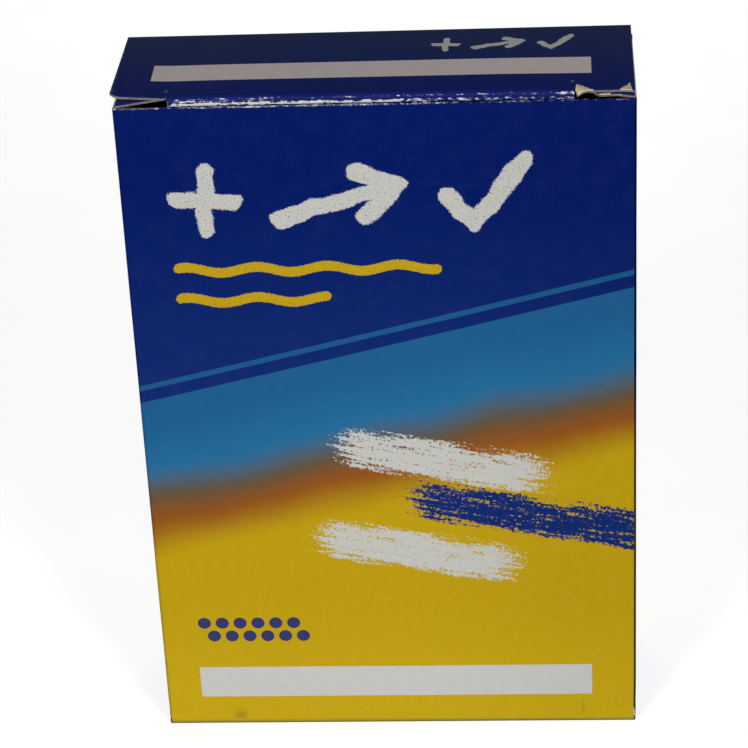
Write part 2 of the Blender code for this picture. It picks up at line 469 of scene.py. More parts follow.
def printed(name, art, folds, rough=0.46, tears=(), flecks=FLECKS):
    """Varnished print on board. Folds are worn lines: axis (0 across, 1 along), place, width, amount.

    Tears are corners where the printed skin has come off.
    """
    material, surface = shader(name, Specular_IOR_Level=0.11)
    point = sheet_point(surface)
    x, y, _ = point.split()
    plane = join(x, y)
    mottle = point.noise(0.7, 4.0, 0.6) * 0.16 + 0.92
    colour = mix(1.0, art(plane, x, y), join(mottle, mottle, mottle), "MULTIPLY")
    worn = 0.0
    for axis in sorted({fold[0] for fold in folds}):
        worn = most(worn, wear_and_glint_lines(point, x, y, axis, folds, flecks))
    rubs = point.noise(0.25, 5.0, 0.75).rise(0.45, 0.85) * 0.008
    colour = mix(most(worn, rubs), colour, CHIP_WHITE)
    for place in tears:
        torn = torn_corner(plane, point, place)
        colour = mix(torn, colour, TORN_BOARD)
        worn = most(worn, torn)
    gloss = point.noise(0.35, 3.0) * 0.14 + (rough - 0.07)
    relief = point.noise(2.2, 5.0, 0.6) - worn * 0.9
    coat(surface, colour, gloss + worn * 0.4, relief, strength=0.5, depth=0.03)
    return material


def raw_board(name, light, dark):
    """Unprinted board: matted fibres with darker and paler specks."""
    material, surface = shader(name, Specular_IOR_Level=0.15)
    point = sheet_point(surface)
    fibres = point.noise(1.3, 6.0, 0.68, stretch=(1.0, 0.35, 1.0))
    cross = point.noise(2.1, 4.0, 0.6, stretch=(0.4, 1.2, 1.0))
    matted = fibres * 0.6 + cross * 0.5
    colour = paint(
        dark,
        (matted.rise(0.35, 0.75), light),
        (point.noise(3.1, 2.0).rise(0.70, 0.78) * 0.45, UMBER),
        (point.noise(1.7, 3.0, 0.6).rise(0.60, 0.70) * 0.35, CHIP_WHITE),
    )
    coat(surface, colour, fibres * 0.15 + 0.8, matted, strength=0.7, depth=0.06)
    return material


raw_inside = raw_board("raw_board_inside", RAW_BOARD, RAW_DARK)
cut_edge = raw_board("raw_board_edge", EDGE_LIGHT, EDGE_DARK)


# Folded board as closed meshes

# Heights in the bake map: inner face, cut edge and outer face
BAKE_INNER_TOP = 0.19
BAKE_EDGE = (0.2, 0.206, 0.219, 0.225)
BAKE_OUTER_BASE = 0.235
SMOOTH_ANGLE = math.radians(38)


def stacked(*parts):
    """Coordinates side by side, from arrays or from numbers that are the same for all."""
    return np.stack(np.broadcast_arrays(*parts), -1)


def smooth_noise(x, y, z):
    """Noise from about -1 to 1 at places given by arrays or numbers."""
    return np.apply_along_axis(noise.noise, -1, stacked(x, y, z))


def bent_path(start, heading, steps):
    """A path in a plane, made of (length, turn) steps that bend left by turn over their length.

    Gives points and outward normals, which are to the right of the path, for distances along it.
    """

    def at(distance):
        spots, ways = np.zeros((2, len(distance)), complex)
        place, way, begun = complex(*start), np.exp(1j * heading), 0.0
        for length, turn in steps:
            bend = 1j * turn / length if turn else 0j

            def run(along):
                return (np.exp(bend * along) - 1) / bend if turn else along

            here = distance >= begun if begun else slice(None)
            along = distance[here] - begun
            spots[here] = place + way * run(along)
            ways[here] = way * np.exp(bend * along)
            place, way, begun = place + way * run(length), way * np.exp(bend * length), begun + length
        return [stacked(part.real, part.imag) for part in (spots, -1j * ways)]

    return at


def path_marks(steps):
    """Distances along a path at which its steps begin and end."""
    return np.cumsum([0.0] + [length for length, _ in steps])


def unit(vectors):
    return vectors / np.linalg.norm(vectors, axis=-1, keepdims=True)


def around(sheet):
    """The edge of a grid in turn, in the order that keeps its outer face on the left."""
    return np.concatenate([sheet[:-1, 0], sheet[-1, :-1], sheet[:0:-1, -1], sheet[0, :0:-1]])


def add_object(name, data):
    obj = bpy.data.objects.new(name, data)
    bpy.context.scene.collection.objects.link(obj)
    return obj


def add_mesh(name, points, faces, slots, flat, places, materials):
    """A smooth mesh object with its sheet coordinates and its bake map."""
    mesh = bpy.data.meshes.new(name)
    mesh.from_pydata((points * MM).tolist(), [], faces)
    for material in materials:
        mesh.materials.append(material)
    mesh.polygons.foreach_set("material_index", np.asarray(slots, np.int32))
    stored = mesh.attributes.new("flat", "FLOAT_VECTOR", "POINT")
    stored.data.foreach_set("vector", np.asarray(flat, np.float32).ravel())
    if places is not None:
        layer = mesh.uv_layers.new(name="OFBake")
        layer.data.foreach_set("uv", np.asarray(places, np.float32).ravel())
    mesh.shade_smooth()
    mesh.set_sharp_from_angle(angle=SMOOTH_ANGLE)
    mesh.update()
    return add_object(name, mesh)


def inset_edges(flat, rounding):
    """The grid of a sheet with each edge drawn in by its rounding."""
    inset = flat.copy()
    edges = {
        "left": (0, 1),
        "right": (-1, -2),
        "low": (np.s_[:, 0], np.s_[:, 1]),
        "high": (np.s_[:, -1], np.s_[:, -2]),
    }
    for side, (edge, within) in edges.items():
        depth = np.reshape(rounding.get(side, CUT_ROUND), (-1, 1))
        inset[edge] += unit(flat[within] - flat[edge]) * depth
    return inset


def zeros(u, v):
    """Slot 0, or no, at every place."""
    return np.zeros(len(u), int)


def board(name, flat, fold, prints, seed=0.0, rounding=None, skin=zeros, printed_rim=zeros):
    """A sheet of board as a closed mesh with an outer face, an inner face and rounded cut edges.

    flat is a grid of sheet coordinates, fold gives points and outward normals for them. skin gives
    the print of each outer face, and printed_rim says which cut edges the first print covers.
    Edges that meet another piece of the board have no rounding.
    """
    inside, raw_edge = len(prints), len(prints) + 1
    across, along = flat.shape[:2]
    outline = around(flat)
    face_flat = inset_edges(flat, rounding or {}).reshape(-1, 2)
    face_points, face_normals = fold(*face_flat.T)
    edge_points, edge_normals = fold(*outline.T)
    points = np.concatenate([
        face_points,
        face_points - face_normals * board_wall,
        edge_points - edge_normals * PRINT_LIP,
        edge_points - edge_normals * (board_wall - CUT_ROUND),
    ])
    layers = [(face_flat, 0.0), (face_flat, 7.0), (outline, 0.0), (outline, 0.4)]
    flats = [stacked(*part.T, seed + more) for part, more in layers]

    count, rim = across * along, len(outline)
    number = np.arange(count).reshape(across, along)
    quads = stacked(number[:-1, :-1], number[1:, :-1], number[1:, 1:], number[:-1, 1:]).reshape(-1, 4)
    inner_quads = quads[:, ::-1]
    share = (face_flat - face_flat.min(0)) / np.ptp(face_flat, axis=0)
    outer_map = share * (1, 1 - BAKE_OUTER_BASE) + (0, BAKE_OUTER_BASE)
    inner_map = share * (1, BAKE_INNER_TOP)
    edge_loop = 2 * count + np.arange(rim)
    loops = [around(number), edge_loop, edge_loop + rim, count + around(number)]
    walk = np.arange(rim + 1) / rim
    walks = stacked(walk[:-1], walk[:-1], walk[1:], walk[1:])
    edge_quads, edge_map = [], []
    for level in range(3):
        here, below = loops[level:level + 2]
        edge_quads.append(stacked(here, below, np.roll(below, -1), np.roll(here, -1)))
        top, base = BAKE_EDGE[level:level + 2]
        edge_map.append(stacked(walks, [top, base, base, top]))

    rim_middle = (outline + np.roll(outline, -1, 0)) / 2
    slots = np.concatenate([
        skin(*face_flat[quads].mean(1).T),
        np.full(len(quads), inside),
        skin(*rim_middle.T),
        np.where(printed_rim(*rim_middle.T), 0, raw_edge),
        np.full(rim, raw_edge),
    ])
    faces = np.concatenate([quads, inner_quads + count, *edge_quads])
    places = np.concatenate([outer_map[quads], inner_map[inner_quads], *edge_map])
    materials = [*prints, raw_inside, cut_edge]
    return add_mesh(name, points, faces.tolist(), slots, np.concatenate(flats), places, materials)


def grid(rows, left, right, across):
    """Sheet coordinates: rows are places along, left and right give the sheet's edges at each."""
    share = np.linspace(0, 1, across)[:, None]
    rows = np.asarray(rows, float)[None, :]
    return stacked(left(rows) + share * (right(rows) - left(rows)), rows)


def rounded(v, last, radius):
    """How far an edge has drawn in at a place along, where a round corner ends at last."""
    past = np.clip((v - last + radius) / radius, 0, 1)
    return radius * (1 - np.sqrt(1 - past**2))


def stretches(places, counts):
    """Rows from place to place, with as many steps on each stretch as its count."""
    parts = [np.linspace(a, b, steps + 1)[1:] for a, b, steps in zip(places, places[1:], counts)]
    return np.concatenate([places[:1], *parts])


def flap_rows(places, counts, radius):
    """Rows of a flap from place to place, the last stretch being its round end."""
    *begun, last = places
    *straight, turning = counts
    bow = np.sin(np.linspace(0, math.pi / 2, turning + 1))[1:]
    return np.concatenate([stretches([*begun, last - radius], straight), last - radius + radius * bow])


def hang(piece, body, begin, finish):
    """Bakes a flap's placement into its mesh and hides its CAD node."""
    (begin * MM).tolist()
    (finish * MM).tolist()
    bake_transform(piece)
    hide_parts(body)


# Sleeve: glue flap, left panel, front panel, right panel and back panel in one folded strip

corner_arc = CREASE_RADIUS * math.pi / 2
glue_face = half_depth - board_wall - GLUE_LINE
sleeve_runs = [
    half_width - CREASE_RADIUS + glue_high[0],
    glue_face + half_depth - 2 * CREASE_RADIUS,
    2 * (half_width - CREASE_RADIUS),
    2 * (half_depth - CREASE_RADIUS),
    2 * half_width - CREASE_RADIUS - BACK_EDGE_INSET,
]
sleeve_steps = []
for run in sleeve_runs:
    sleeve_steps += [(run, 0.0), (corner_arc, math.pi / 2)]
sleeve_steps.pop()
sleeve_path = bent_path((glue_high[0], glue_face), math.pi, sleeve_steps)
sleeve_marks = path_marks(sleeve_steps)
_, glue_end, left_begin, left_end, front_begin, front_end = sleeve_marks[:6]
right_begin, right_end, back_begin, back_end = sleeve_marks[6:]

# Across the sheet, places are measured from the front's middle
front_middle = (front_begin + front_end) / 2
left_middle = (left_begin + left_end) / 2 - front_middle
right_middle = (right_begin + right_end) / 2 - front_middle
back_middle = (back_begin + back_end + BACK_EDGE_INSET - CREASE_RADIUS) / 2 - front_middle

FRONT_BULGE = 0.22
WAVINESS = 0.035
WAVY_SCALE = 0.06
DENT_CLEAR = 1.5  # dents fade out over this length above the lower crease
DENTS = [  # across, up, half width, half height and depth
    (31.8, 2.5, 0.5, 3.0, 0.14),
    (-28.5, 1.5, 1.6, 1.4, 0.10),
    (39.0, 3.0, 2.2, 2.6, 0.16),
    (-39.5, 2.5, 2.0, 2.0, 0.10),
]
COLUMN_STEP = 1.1
CORNER_COLUMNS = 6
EDGE_ROWS = np.array([0, 0.004, 0.012, 0.024])
PANEL_ROWS = np.linspace(0.036, 0.964, 56)
JOIN_MARGIN = 0.1  # past the stretch whose lower edge meets a flap or lid
KNOT_STEP = 0.02  # half the width over which the strip's edge steps from one panel's height to the next

BAND_RISE = math.tan(math.radians(14))
BAND_TOP = 76.0
BAND_FADES = [
    (44.0, 53.0, ORANGE),
    (51.0, 58.0, UMBER),
    (55.5, 64.0, LIGHT_BLUE),
    (60.0, 74.0, HAZE_BLUE),
]
STRIPE = (78.2, 79.2)
STRIP_X = (-34.9, 33.4)
STRIP_Z = (6.0, 12.3)
# Darker olive spots over the two lower dents: amount, then middle across and along, half width and half
# height
DENT_SPOTS = [(0.34, (-28.4, 1.9, 1.1, 0.9)), (0.20, (31.8, 2.9, 0.22, 1.7))]
RIGHT_PAINTED_SHADE = 0.09  # painted shade: how much darker the front is at its right edge, where less light falls
FRONT_WRAP = (0.6, 0.33)  # share of the left and of the right corner under the front's print
# The painted shade on the corner creases turns from brown to dark blue between these levels.
CREASE_SHADE_LEVELS = (46.0, 60.0)
CREASE_SHADE_PAST = (0.5, 0.3)  # where the painted shade on the corner's crease ends, past the front's half width
SIDE_FIELD_X = (-7.5, 7.5)
SIDE_RULE_Z = (14.4, 15.1)
BACK_BANDS = [(26.0, LIGHT_BLUE), (22.0, YELLOW)]
BACK_PANEL_X = (-32.0, 32.0)
BACK_PANEL_Z = (42.0, 104.0)
BACK_RULE_Z = (107.5, 108.7)
LINES_X = (-28.0, 28.0)
LINES_Z = (48.0, 84.5)
LINE_PITCH = 6.0


def sleeve_fold(u, v):
    """The folded strip, with its front and back bulged a little, wavy and dented."""
    plan, out = sleeve_path(u + front_middle)
    normals = np.column_stack([out, 0 * v])
    tall = np.clip(1 - ((v - height / 2) / (height / 2)) ** 2, 0, 1)
    push = WAVINESS * smooth_noise(u * WAVY_SCALE, v * WAVY_SCALE, 3.0) * np.minimum(tall * 3, 1)
    for middle in (0.0, back_middle):
        push += FRONT_BULGE * np.clip(1 - ((u - middle) / half_width) ** 2, 0, 1) * tall
    clear = np.clip((v - CREASE_START) / DENT_CLEAR, 0, 1)
    for x, z, wide, high, deep in DENTS:
        push -= deep * clear * np.exp(-(((u - x) / wide) ** 2) - ((v - z) / high) ** 2)
    return np.column_stack([plan, v]) + normals * push[:, None], normals


def sleeve_flat():
    """Columns along the strip, each from its panel's lower edge to its upper one."""
    side_edges = (side_low[2], side_high[2])
    front_edges = (CREASE_START, front_high[2])
    back_edges = (back_low[2], height - CREASE_START)
    knots = np.array([
        (0, glue_low[2] + GLUE_CHAMFER, glue_high[2] - GLUE_CHAMFER),
        (glue_end, glue_low[2], glue_high[2]),
        (left_begin, *side_edges),
        (left_end - KNOT_STEP, *side_edges),
        (left_end + KNOT_STEP, *front_edges),
        (right_begin - KNOT_STEP, *front_edges),
        (right_begin + KNOT_STEP, *side_edges),
        (right_end - KNOT_STEP, *side_edges),
        (right_end + KNOT_STEP, *back_edges),
        (back_end, *back_edges),
    ])
    stations = knots[:, 0].tolist()
    for number, (length, turn) in enumerate(sleeve_steps):
        pieces = CORNER_COLUMNS if turn else max(int(round(length / COLUMN_STEP)), 4)
        stations += np.linspace(*sleeve_marks[number:number + 2], pieces + 1).tolist()
    stations = np.unique(np.round(stations, 4))
    low, high = [np.interp(stations, knots[:, 0], edge) for edge in knots.T[1:]]
    share = np.concatenate([EDGE_ROWS, PANEL_ROWS, 1 - EDGE_ROWS[::-1]])
    heights = low[:, None] + share[None, :] * (high - low)[:, None]
    return stacked((stations - front_middle)[:, None], heights)


def sleeve_skin(u, v):
    """Slots of the strip's print: front, sides and glue flap, or back."""
    front_from = front_begin - front_middle - corner_arc * FRONT_WRAP[0]
    front_to = front_end - front_middle + corner_arc * FRONT_WRAP[1]
    slots = np.ones(len(u), int)
    slots[(u > front_from) & (u < front_to)] = 0
    slots[u > back_begin - front_middle - corner_arc / 3] = 2
    return slots


def band_ground(x, y):
    """Deep blue over a slanting light-blue band that fades through orange to yellow."""
    slanted = y - x * BAND_RISE
    level = slanted + (join(x, y).noise(0.045, 1.0) - 0.5) * 5.0
    sky = mix(y.rise(60.0, 112.0), MID_BLUE, DEEP_BLUE)
    return paint(
        YELLOW,
        (y.rise(30.0, 4.0), LOW_YELLOW),
        *[(level.rise(begin, finish), colour) for begin, finish, colour in BAND_FADES],
        (slanted.rise(BAND_TOP - 0.1, BAND_TOP + 0.1), sky),
        (slanted.between(*STRIPE) * 0.55, LIGHT_BLUE),
    )


def front_art(point, x, y):
    """Marks, waves, broad rubs, twelve dots and a blank strip on the band ground, with painted shade
    darkening it towards the right edge.
    """
    return paint(
        band_ground(x, y),
        (marks(point, "front") * 0.97, RUB_WHITE),
        (yellow_waves(point, x, y), YELLOW),
        *[(swatch(point, start, end), colour) for start, end, colour in SWATCHES],
        (dot_rows(x, y) * 0.94, MID_BLUE),
        (x.between(*STRIP_X) * y.between(*STRIP_Z), PAPER_WHITE),
        *[(spot(point, place, 0.9) * amount, DENT_OLIVE) for amount, place in DENT_SPOTS],
        # painted shade: darker towards the right edge
        (x.rise(0.0, half_width) * RIGHT_PAINTED_SHADE, BLACK),
    )


def plain_art(colour, other=MID_BLUE):
    """One colour that drifts a little towards another."""
    return lambda point, x, y: mix(point.noise(0.05, 1.0), colour, other)


def side_art(point, x, y):
    """Dark blue with small marks, a yellow rule and a blank white field on each side.

    Next to the front, the corner's crease is darker: painted shade, brown low down and dark blue higher
    up.
    """
    crease_shade = mix((y - x * BAND_RISE).rise(*CREASE_SHADE_LEVELS), CREASE_SHADE_BROWN, CREASE_SHADE_BLUE)
    colour = plain_art(SIDE_BLUE)(point, x, y)
    colour = mix((abs(x) - half_width).rise(*CREASE_SHADE_PAST), colour, crease_shade)
    for middle in (left_middle, right_middle):
        away = x - middle
        across = away.between(*SIDE_FIELD_X)
        colour = paint(
            colour,
            (across * y.between(*STRIP_Z), PAPER_WHITE),
            (across * y.between(*SIDE_RULE_Z), YELLOW),
            (marks(join(away, y), "side") * 0.92, RUB_WHITE),
        )
    return colour


def back_art(point, x, y):
    """Blue and yellow ground with a large blank panel."""
    away = x - back_middle
    slanted = y + away * BAND_RISE
    across = away.between(*BACK_PANEL_X)
    line = abs(calculate("FLOORED_MODULO", y, LINE_PITCH) - LINE_PITCH / 2)
    ruled = away.between(*LINES_X) * y.between(*LINES_Z) * line.rise(0.22, 0.14)
    return paint(
        MID_BLUE,
        (y.rise(20.0, 112.0), DEEP_BLUE),
        *[(slanted.rise(level + 0.1, level - 0.1), band) for level, band in BACK_BANDS],
        (across * y.between(*BACK_PANEL_Z), PAPER_WHITE),
        (marks(join(away, y), "back"), MID_BLUE),
        (ruled * 0.6, LIGHT_BLUE),
        (across * y.between(*BACK_RULE_Z), YELLOW),
    )


def sleeve_prints():
    """Materials of the strip's outer face: front, sides and back, worn along its folds and edges."""
    corner_lines = [(0, mark - front_middle, 0.9, 0.20) for mark in sleeve_marks[2:9]]
    front_lines = [
        (1, front_high[2], 0.36, wear_along(2.0, 18.0, 0.365, 0.295)),
        (0, -half_width, 0.8, 0.2),
        (0, half_width, 0.8, 0.2),
    ]
    side_lines = [*corner_lines, (1, side_high[2], 0.5, 0.2), (1, side_low[2], 0.6, 0.2)]
    back_lines = [*corner_lines, (1, height - 0.6, 0.8, 0.2), (1, back_low[2], 0.4, 0.28)]
    worn_corners = [
        (front_end - front_middle + 0.4, 1.2, 0.9, 1.7),
        (front_begin - front_middle - 0.4, 1.2, -0.9, 1.1),
    ]
    return [
        printed("print_front", front_art, front_lines),
        printed("print_side", side_art, side_lines, tears=worn_corners),
        printed("print_back", back_art, back_lines),
    ]


def build_sleeve():
    flat = sleeve_flat()
    at = flat[:, 0, 0] + front_middle
    low_joined = (at > left_begin - JOIN_MARGIN) & (at < right_end + JOIN_MARGIN)
    high_joined = ((at > left_begin) & (at < left_end)) | (at > right_begin)
    rounding = {
        "low": np.where(low_joined, 0.0, CUT_ROUND),
        "high": np.where(high_joined, 0.0, CUT_ROUND),
    }

    def printed_rim(u, v):
        """The front's top edge is covered by print and its chips; other edges are raw."""
        return (sleeve_skin(u, v) == 0) & (v > height / 2)

    looks = {"rounding": rounding, "skin": sleeve_skin, "printed_rim": printed_rim}
    sleeve = board("carton_sleeve", flat, sleeve_fold, sleeve_prints(), **looks)
    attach(sleeve, "sleeve")
    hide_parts("front_panel", "back_panel", "left_panel", "right_panel", "glue_flap")


# Ends: lids, tuck flaps and dust flaps. Across a lid, places run from right to left.

LIFT_X = (-41.1, -40.5, -39.9, -36.3, -32.5, -25.0, 20.0, 33.9, 38.8, 40.6)
LIFT_FRONT = (1.05, 0.62, 0.36, 0.13, -0.10, 0.0, 0.0, -0.20, -0.16, -0.28)
LIFT_HINGE = (0.2, 0.5)
TORN_CORNER = (31.26, -10.37)
TORN_SLOPE = 0.6
TORN_REACH = 1.3
LID_TEARS = [(-31.75, -12.1, -2.6, -2.2), (-40.0, -12.1, 1.6, -2.2)]  # corner, two signed legs
LID_STRIP_X = (-35.35, 34.1)
LID_STRIP_Y = (-6.0, -0.1)
SLIT_NICKS = [(-32.5, -9.7, 0.24, 0.32), (31.1, -8.9, 0.24, 0.32)]  # beside the slits' ends
FOOT_SHADE_LINE = (0.7, 0.5)  # where the painted shade line on the foot's crease ends, in arcs of the hinge
FOOT_SHADE_RUN_OUT = (0.25, -0.06)  # where its yellow, darkened as painted shade towards the crease, ends
FOOT_SHADE_SIDES = (-0.3, -0.45)  # from the carton's sides to where the foot's shade line turns olive and its yellow shows
TUCK_PRINT_END = 8.0
ROLL_WEAR_AND_GLINTS = [  # worn lines along the rolled fold, rubbed most on its left; their white flecks are partly chipped print and partly a painted glint of light on the fold
    (1, 2.10, 0.70, wear_along(-34.0, 8.0, 0.25, 0.53)),
    (1, 1.86, 0.50, wear_along(-38.0, 22.0, 0.28, 0.48)),
    (1, 1.42, 0.50, wear_along(5.0, 25.0, 0.12, 0.32)),
    (1, 1.13, 0.42, wear_along(5.0, 25.0, 0.23, 0.30)),
    (1, 1.10, 0.50, wear_along(-27.5, -29.5, 0.0, 0.50)),
]
FRAY_REACH = (3.0, 5.5, 5.8, 7.1)  # along the torn dust flap's edge, and how far it stands out
FRAY_OUT = (0.0, 1.1, 1.1, 0.0)
DUST_TEAR = (-12.0, 3.6, 1.6, 5.2)  # the same, from where the flap is flat
DUST_WEAR = {"left": 0.5, "right": 0.36}

lid_crease = CREASE_START - HINGE_RADIUS
hinge_arc = HINGE_RADIUS * math.pi / 2
lid_steps = [(lid_crease, 0), (hinge_arc, math.pi / 2), (1, 0)]
lid_path = bent_path((half_depth, -CREASE_START), math.pi / 2, lid_steps)
lid_flat_from = lid_crease + hinge_arc
roll_begin = half_depth - ROLL_FRONT_INSET - ROLL_RADIUS


def turn_over(end, vectors, placed):
    """Carries an end's own frame to the top or, turned about X, to the bottom of the carton."""
    if ENDS[end]["turn"] > 0:
        return vectors + ((0, 0, height) if placed else (0, 0, 0))
    return vectors * (1, -1, -1)


def flap_fold(end, outward, path, lift=None):
    """Points and normals of an end flap from its (out, up) path, up from the lid's outer face.

    An optional lift raises its points by (x, out, along).
    """
    out_way = np.array(outward, float)
    side_way = np.cross((0, 0, 1), out_way)

    def fold(u, v):
        spots, facing = path(v)
        points = np.multiply.outer(u, side_way) + np.multiply.outer(spots[:, 0], out_way)
        points[:, 2] += spots[:, 1]
        if lift:
            points[:, 2] += lift(u * side_way[0], spots[:, 0], v)
        normals = np.multiply.outer(facing[:, 0], out_way)
        normals[:, 2] += facing[:, 1]
        return turn_over(end, points, True), turn_over(end, normals, False)

    return fold


def along_lid(reach_y):
    """Distance along a lid's path of a place on its flat part, by its distance from the middle."""
    return lid_flat_from + half_depth - HINGE_RADIUS - reach_y


def lid_lift(end, x, out, begun):
    """A closed lid isn't quite flat: its left edge curls up and its right end lies low.

    One torn corner beside the slit is bent down. begun is how far the board is past its hinge, 0 to 1.
    """
    if end == "bottom":
        return 0.0 * x
    share = np.clip((half_depth - out) / (2 * half_depth), 0, 1)
    at_front = np.interp(x, LIFT_X, LIFT_FRONT)
    at_hinge = np.interp(x, (-half_width, half_width), LIFT_HINGE)
    lift = (at_front * share + at_hinge * (1 - share)) * begun
    past = np.clip(TORN_CORNER[0] - x + TORN_CORNER[1] - out, 0, TORN_REACH)
    right_slit = ENDS[end]["tuck_middle"] + tuck_half + SLIT_GAP / 2
    return lift - np.where(x > right_slit, TORN_SLOPE * past, 0.0)


def lid_flat(end):
    """Columns across a lid; the ends beyond the slits reach the front, the middle stops at its fold."""
    shift = LID_SHIFT if end == "top" else 0.0
    middle = -ENDS[end]["tuck_middle"]
    ease = (1 - np.cos(np.linspace(0, math.pi, 20))) / 2
    outer = []
    for side in (-1, 1):
        slit = middle + side * (tuck_half + SLIT_GAP)
        outer.append(slit + ease * (side * (half_width - LID_INSET) + shift - slit))
    inner = middle + np.linspace(-tuck_half, tuck_half, 60)
    across = np.concatenate([outer[0][::-1], inner, outer[1]])
    ears = np.abs(across - middle) > tuck_half + SLIT_GAP / 2
    reach = np.where(ears, along_lid(-half_depth), along_lid(-roll_begin))
    crease = stretches((0, lid_crease, lid_flat_from), (2, 6))
    share = stretches((0, 0.82, 1), (17, 9))[1:]
    flat_part = lid_flat_from + share[None, :] * (reach - lid_flat_from)[:, None]
    rows = np.concatenate([np.repeat(crease[None, :], len(across), 0), flat_part], 1)
    return stacked(across[:, None], rows), ears


def lid_art(point, x, y):
    """Dark blue, greyer towards the back as painted reflection, with a blank white strip and small marks.
    """
    east = x * -1.0
    north = (y - along_lid(0.0)) * -1.0
    here = join(east, north)
    return paint(
        LID_FRONT_BLUE,
        # painted reflection, greyer towards the back
        (north.rise(-half_depth, half_depth), LID_BACK_SHEEN),
        (east.between(*LID_STRIP_X) * north.between(*LID_STRIP_Y), LID_WHITE),
        (marks(here, "lid") * 0.9, RUB_WHITE),
        *[(spot(here, place, 0.3) * 0.2, CHIP_WHITE) for place in SLIT_NICKS],
    )


def base_art(point, x, y):
    """The bottom lid: the front's yellow darkens into an olive line on the crease, painted shade of the
    crease turning under, then plain blue.
    """
    bent = (y - lid_crease) / hinge_arc
    inside = (abs(x) - half_width).rise(*FOOT_SHADE_SIDES)
    # painted shade line: brown by the sides, olive between them
    line = mix(inside, CREASE_SHADE_BROWN, FOOT_SHADE_OLIVE)
    shaded = mix(y.rise(0.0, lid_crease), LOW_YELLOW, FOOT_SHADE_YELLOW)
    return paint(
        plain_art(SIDE_BLUE)(point, x, y),
        (bent.rise(*FOOT_SHADE_LINE), line),
        (bent.rise(*FOOT_SHADE_RUN_OUT) * inside, shaded),
    )


def tuck_art(point, x, y):
    """Blue round the fold, which fades out a little way down the flap into bare white coating."""
    colour = plain_art(ROLL_BLUE, LID_BLUE)(point, x, y)
    edge = point.noise(0.8, 3.0) * 0.5 + y
    return mix(edge.rise(TUCK_PRINT_END - 0.1, TUCK_PRINT_END + 0.1), colour, PAPER_WHITE)


def build_lid(end):
    top = end == "top"
    lines = [
        (1, lid_flat_from - 0.6, 0.7, 0.16),
        (0, -lid_high[0], 0.5, 0.2),
        (0, lid_high[0], 0.5, 0.2),
    ]
    tears = [(left, along_lid(low), wide, tall) for left, low, wide, tall in LID_TEARS if top]
    art = printed(f"print_{end}_lid", lid_art if top else base_art, lines, 0.56, tears)

    def lift(x, out, along):
        return lid_lift(end, x, out, np.clip(along / lid_flat_from, 0, 1))

    flat, ears = lid_flat(end)
    fold = flap_fold(end, (0, 1, 0), lid_path, lift)
    rounding = {"low": 0.0, "high": np.where(ears, CUT_ROUND, 0.0)}
    lid = board(f"{end}_lid_board", flat, fold, [art], seed=11.0, rounding=rounding)
    hinge = joint_axis(f"{end}_lid_hinge")
    start = ENDS[end]["turn"] * CREASE_START
    hang(lid, f"{end}_lid", hinge - (0, 0, start), hinge - (0, start, 0))


def tuck_steps(lean):
    """Rolled fold, a short run in behind the panel, and the leaning flap on the CAD flap's plane."""
    axis = np.array((2 * board_wall + FLAP_CLEARANCE - half_depth, -board_wall))
    back_turn = ROLL_TURN - math.pi / 2 - lean
    roll_step = (ROLL_RADIUS * ROLL_TURN, ROLL_TURN)
    rolled = bent_path((-roll_begin, 0), math.pi, [roll_step])(np.array([roll_step[0]]))[0][0]
    outward = np.array((-math.cos(lean), -math.sin(lean)))
    down = np.array((math.sin(lean), -math.cos(lean)))
    gap = (rolled - axis) @ outward - board_wall
    run = (gap - RETURN_RADIUS * (1 - math.cos(back_turn))) / math.sin(back_turn)
    end_of_curve = rolled @ down + run * math.cos(back_turn) + RETURN_RADIUS * math.sin(back_turn)
    left = axis @ down + TUCK_REACH - end_of_curve
    return [roll_step, (run, 0.0), (RETURN_RADIUS * back_turn, -back_turn), (left, 0.0)]


def build_tuck(end):
    steps = tuck_steps(ENDS[end]["lean"])
    path = bent_path((-roll_begin, 0), math.pi, steps)
    _, roll_end, _, flat_from, last = path_marks(steps)
    rows = flap_rows((0, roll_end, flat_from, last), (14, 6, 5, 8), TUCK_ROUND)
    middle = -ENDS[end]["tuck_middle"]

    def edge(v):
        return tuck_half - rounded(v, last, TUCK_ROUND)

    art = printed(f"print_{end}_tuck", tuck_art, ROLL_WEAR_AND_GLINTS, flecks=ROLL_FLECKS_AND_GLINTS)
    fold = flap_fold(end, (0, 1, 0), path, lambda x, out, along: lid_lift(end, x, out, 1.0))
    flat = grid(rows, lambda v: middle - edge(v), lambda v: middle + edge(v), across=72)
    tuck = board(f"{end}_tuck_board", flat, fold, [art], seed=23.0, rounding={"low": 0.0})
    axis = joint_axis(f"{end}_tuck_fold")
    turn = ENDS[end]["turn"]
    finish = axis - turn * np.array((0, *TUCK_BEND))
    hang(tuck, f"{end}_tuck_flap", axis + (0, 0, turn * board_wall), finish)


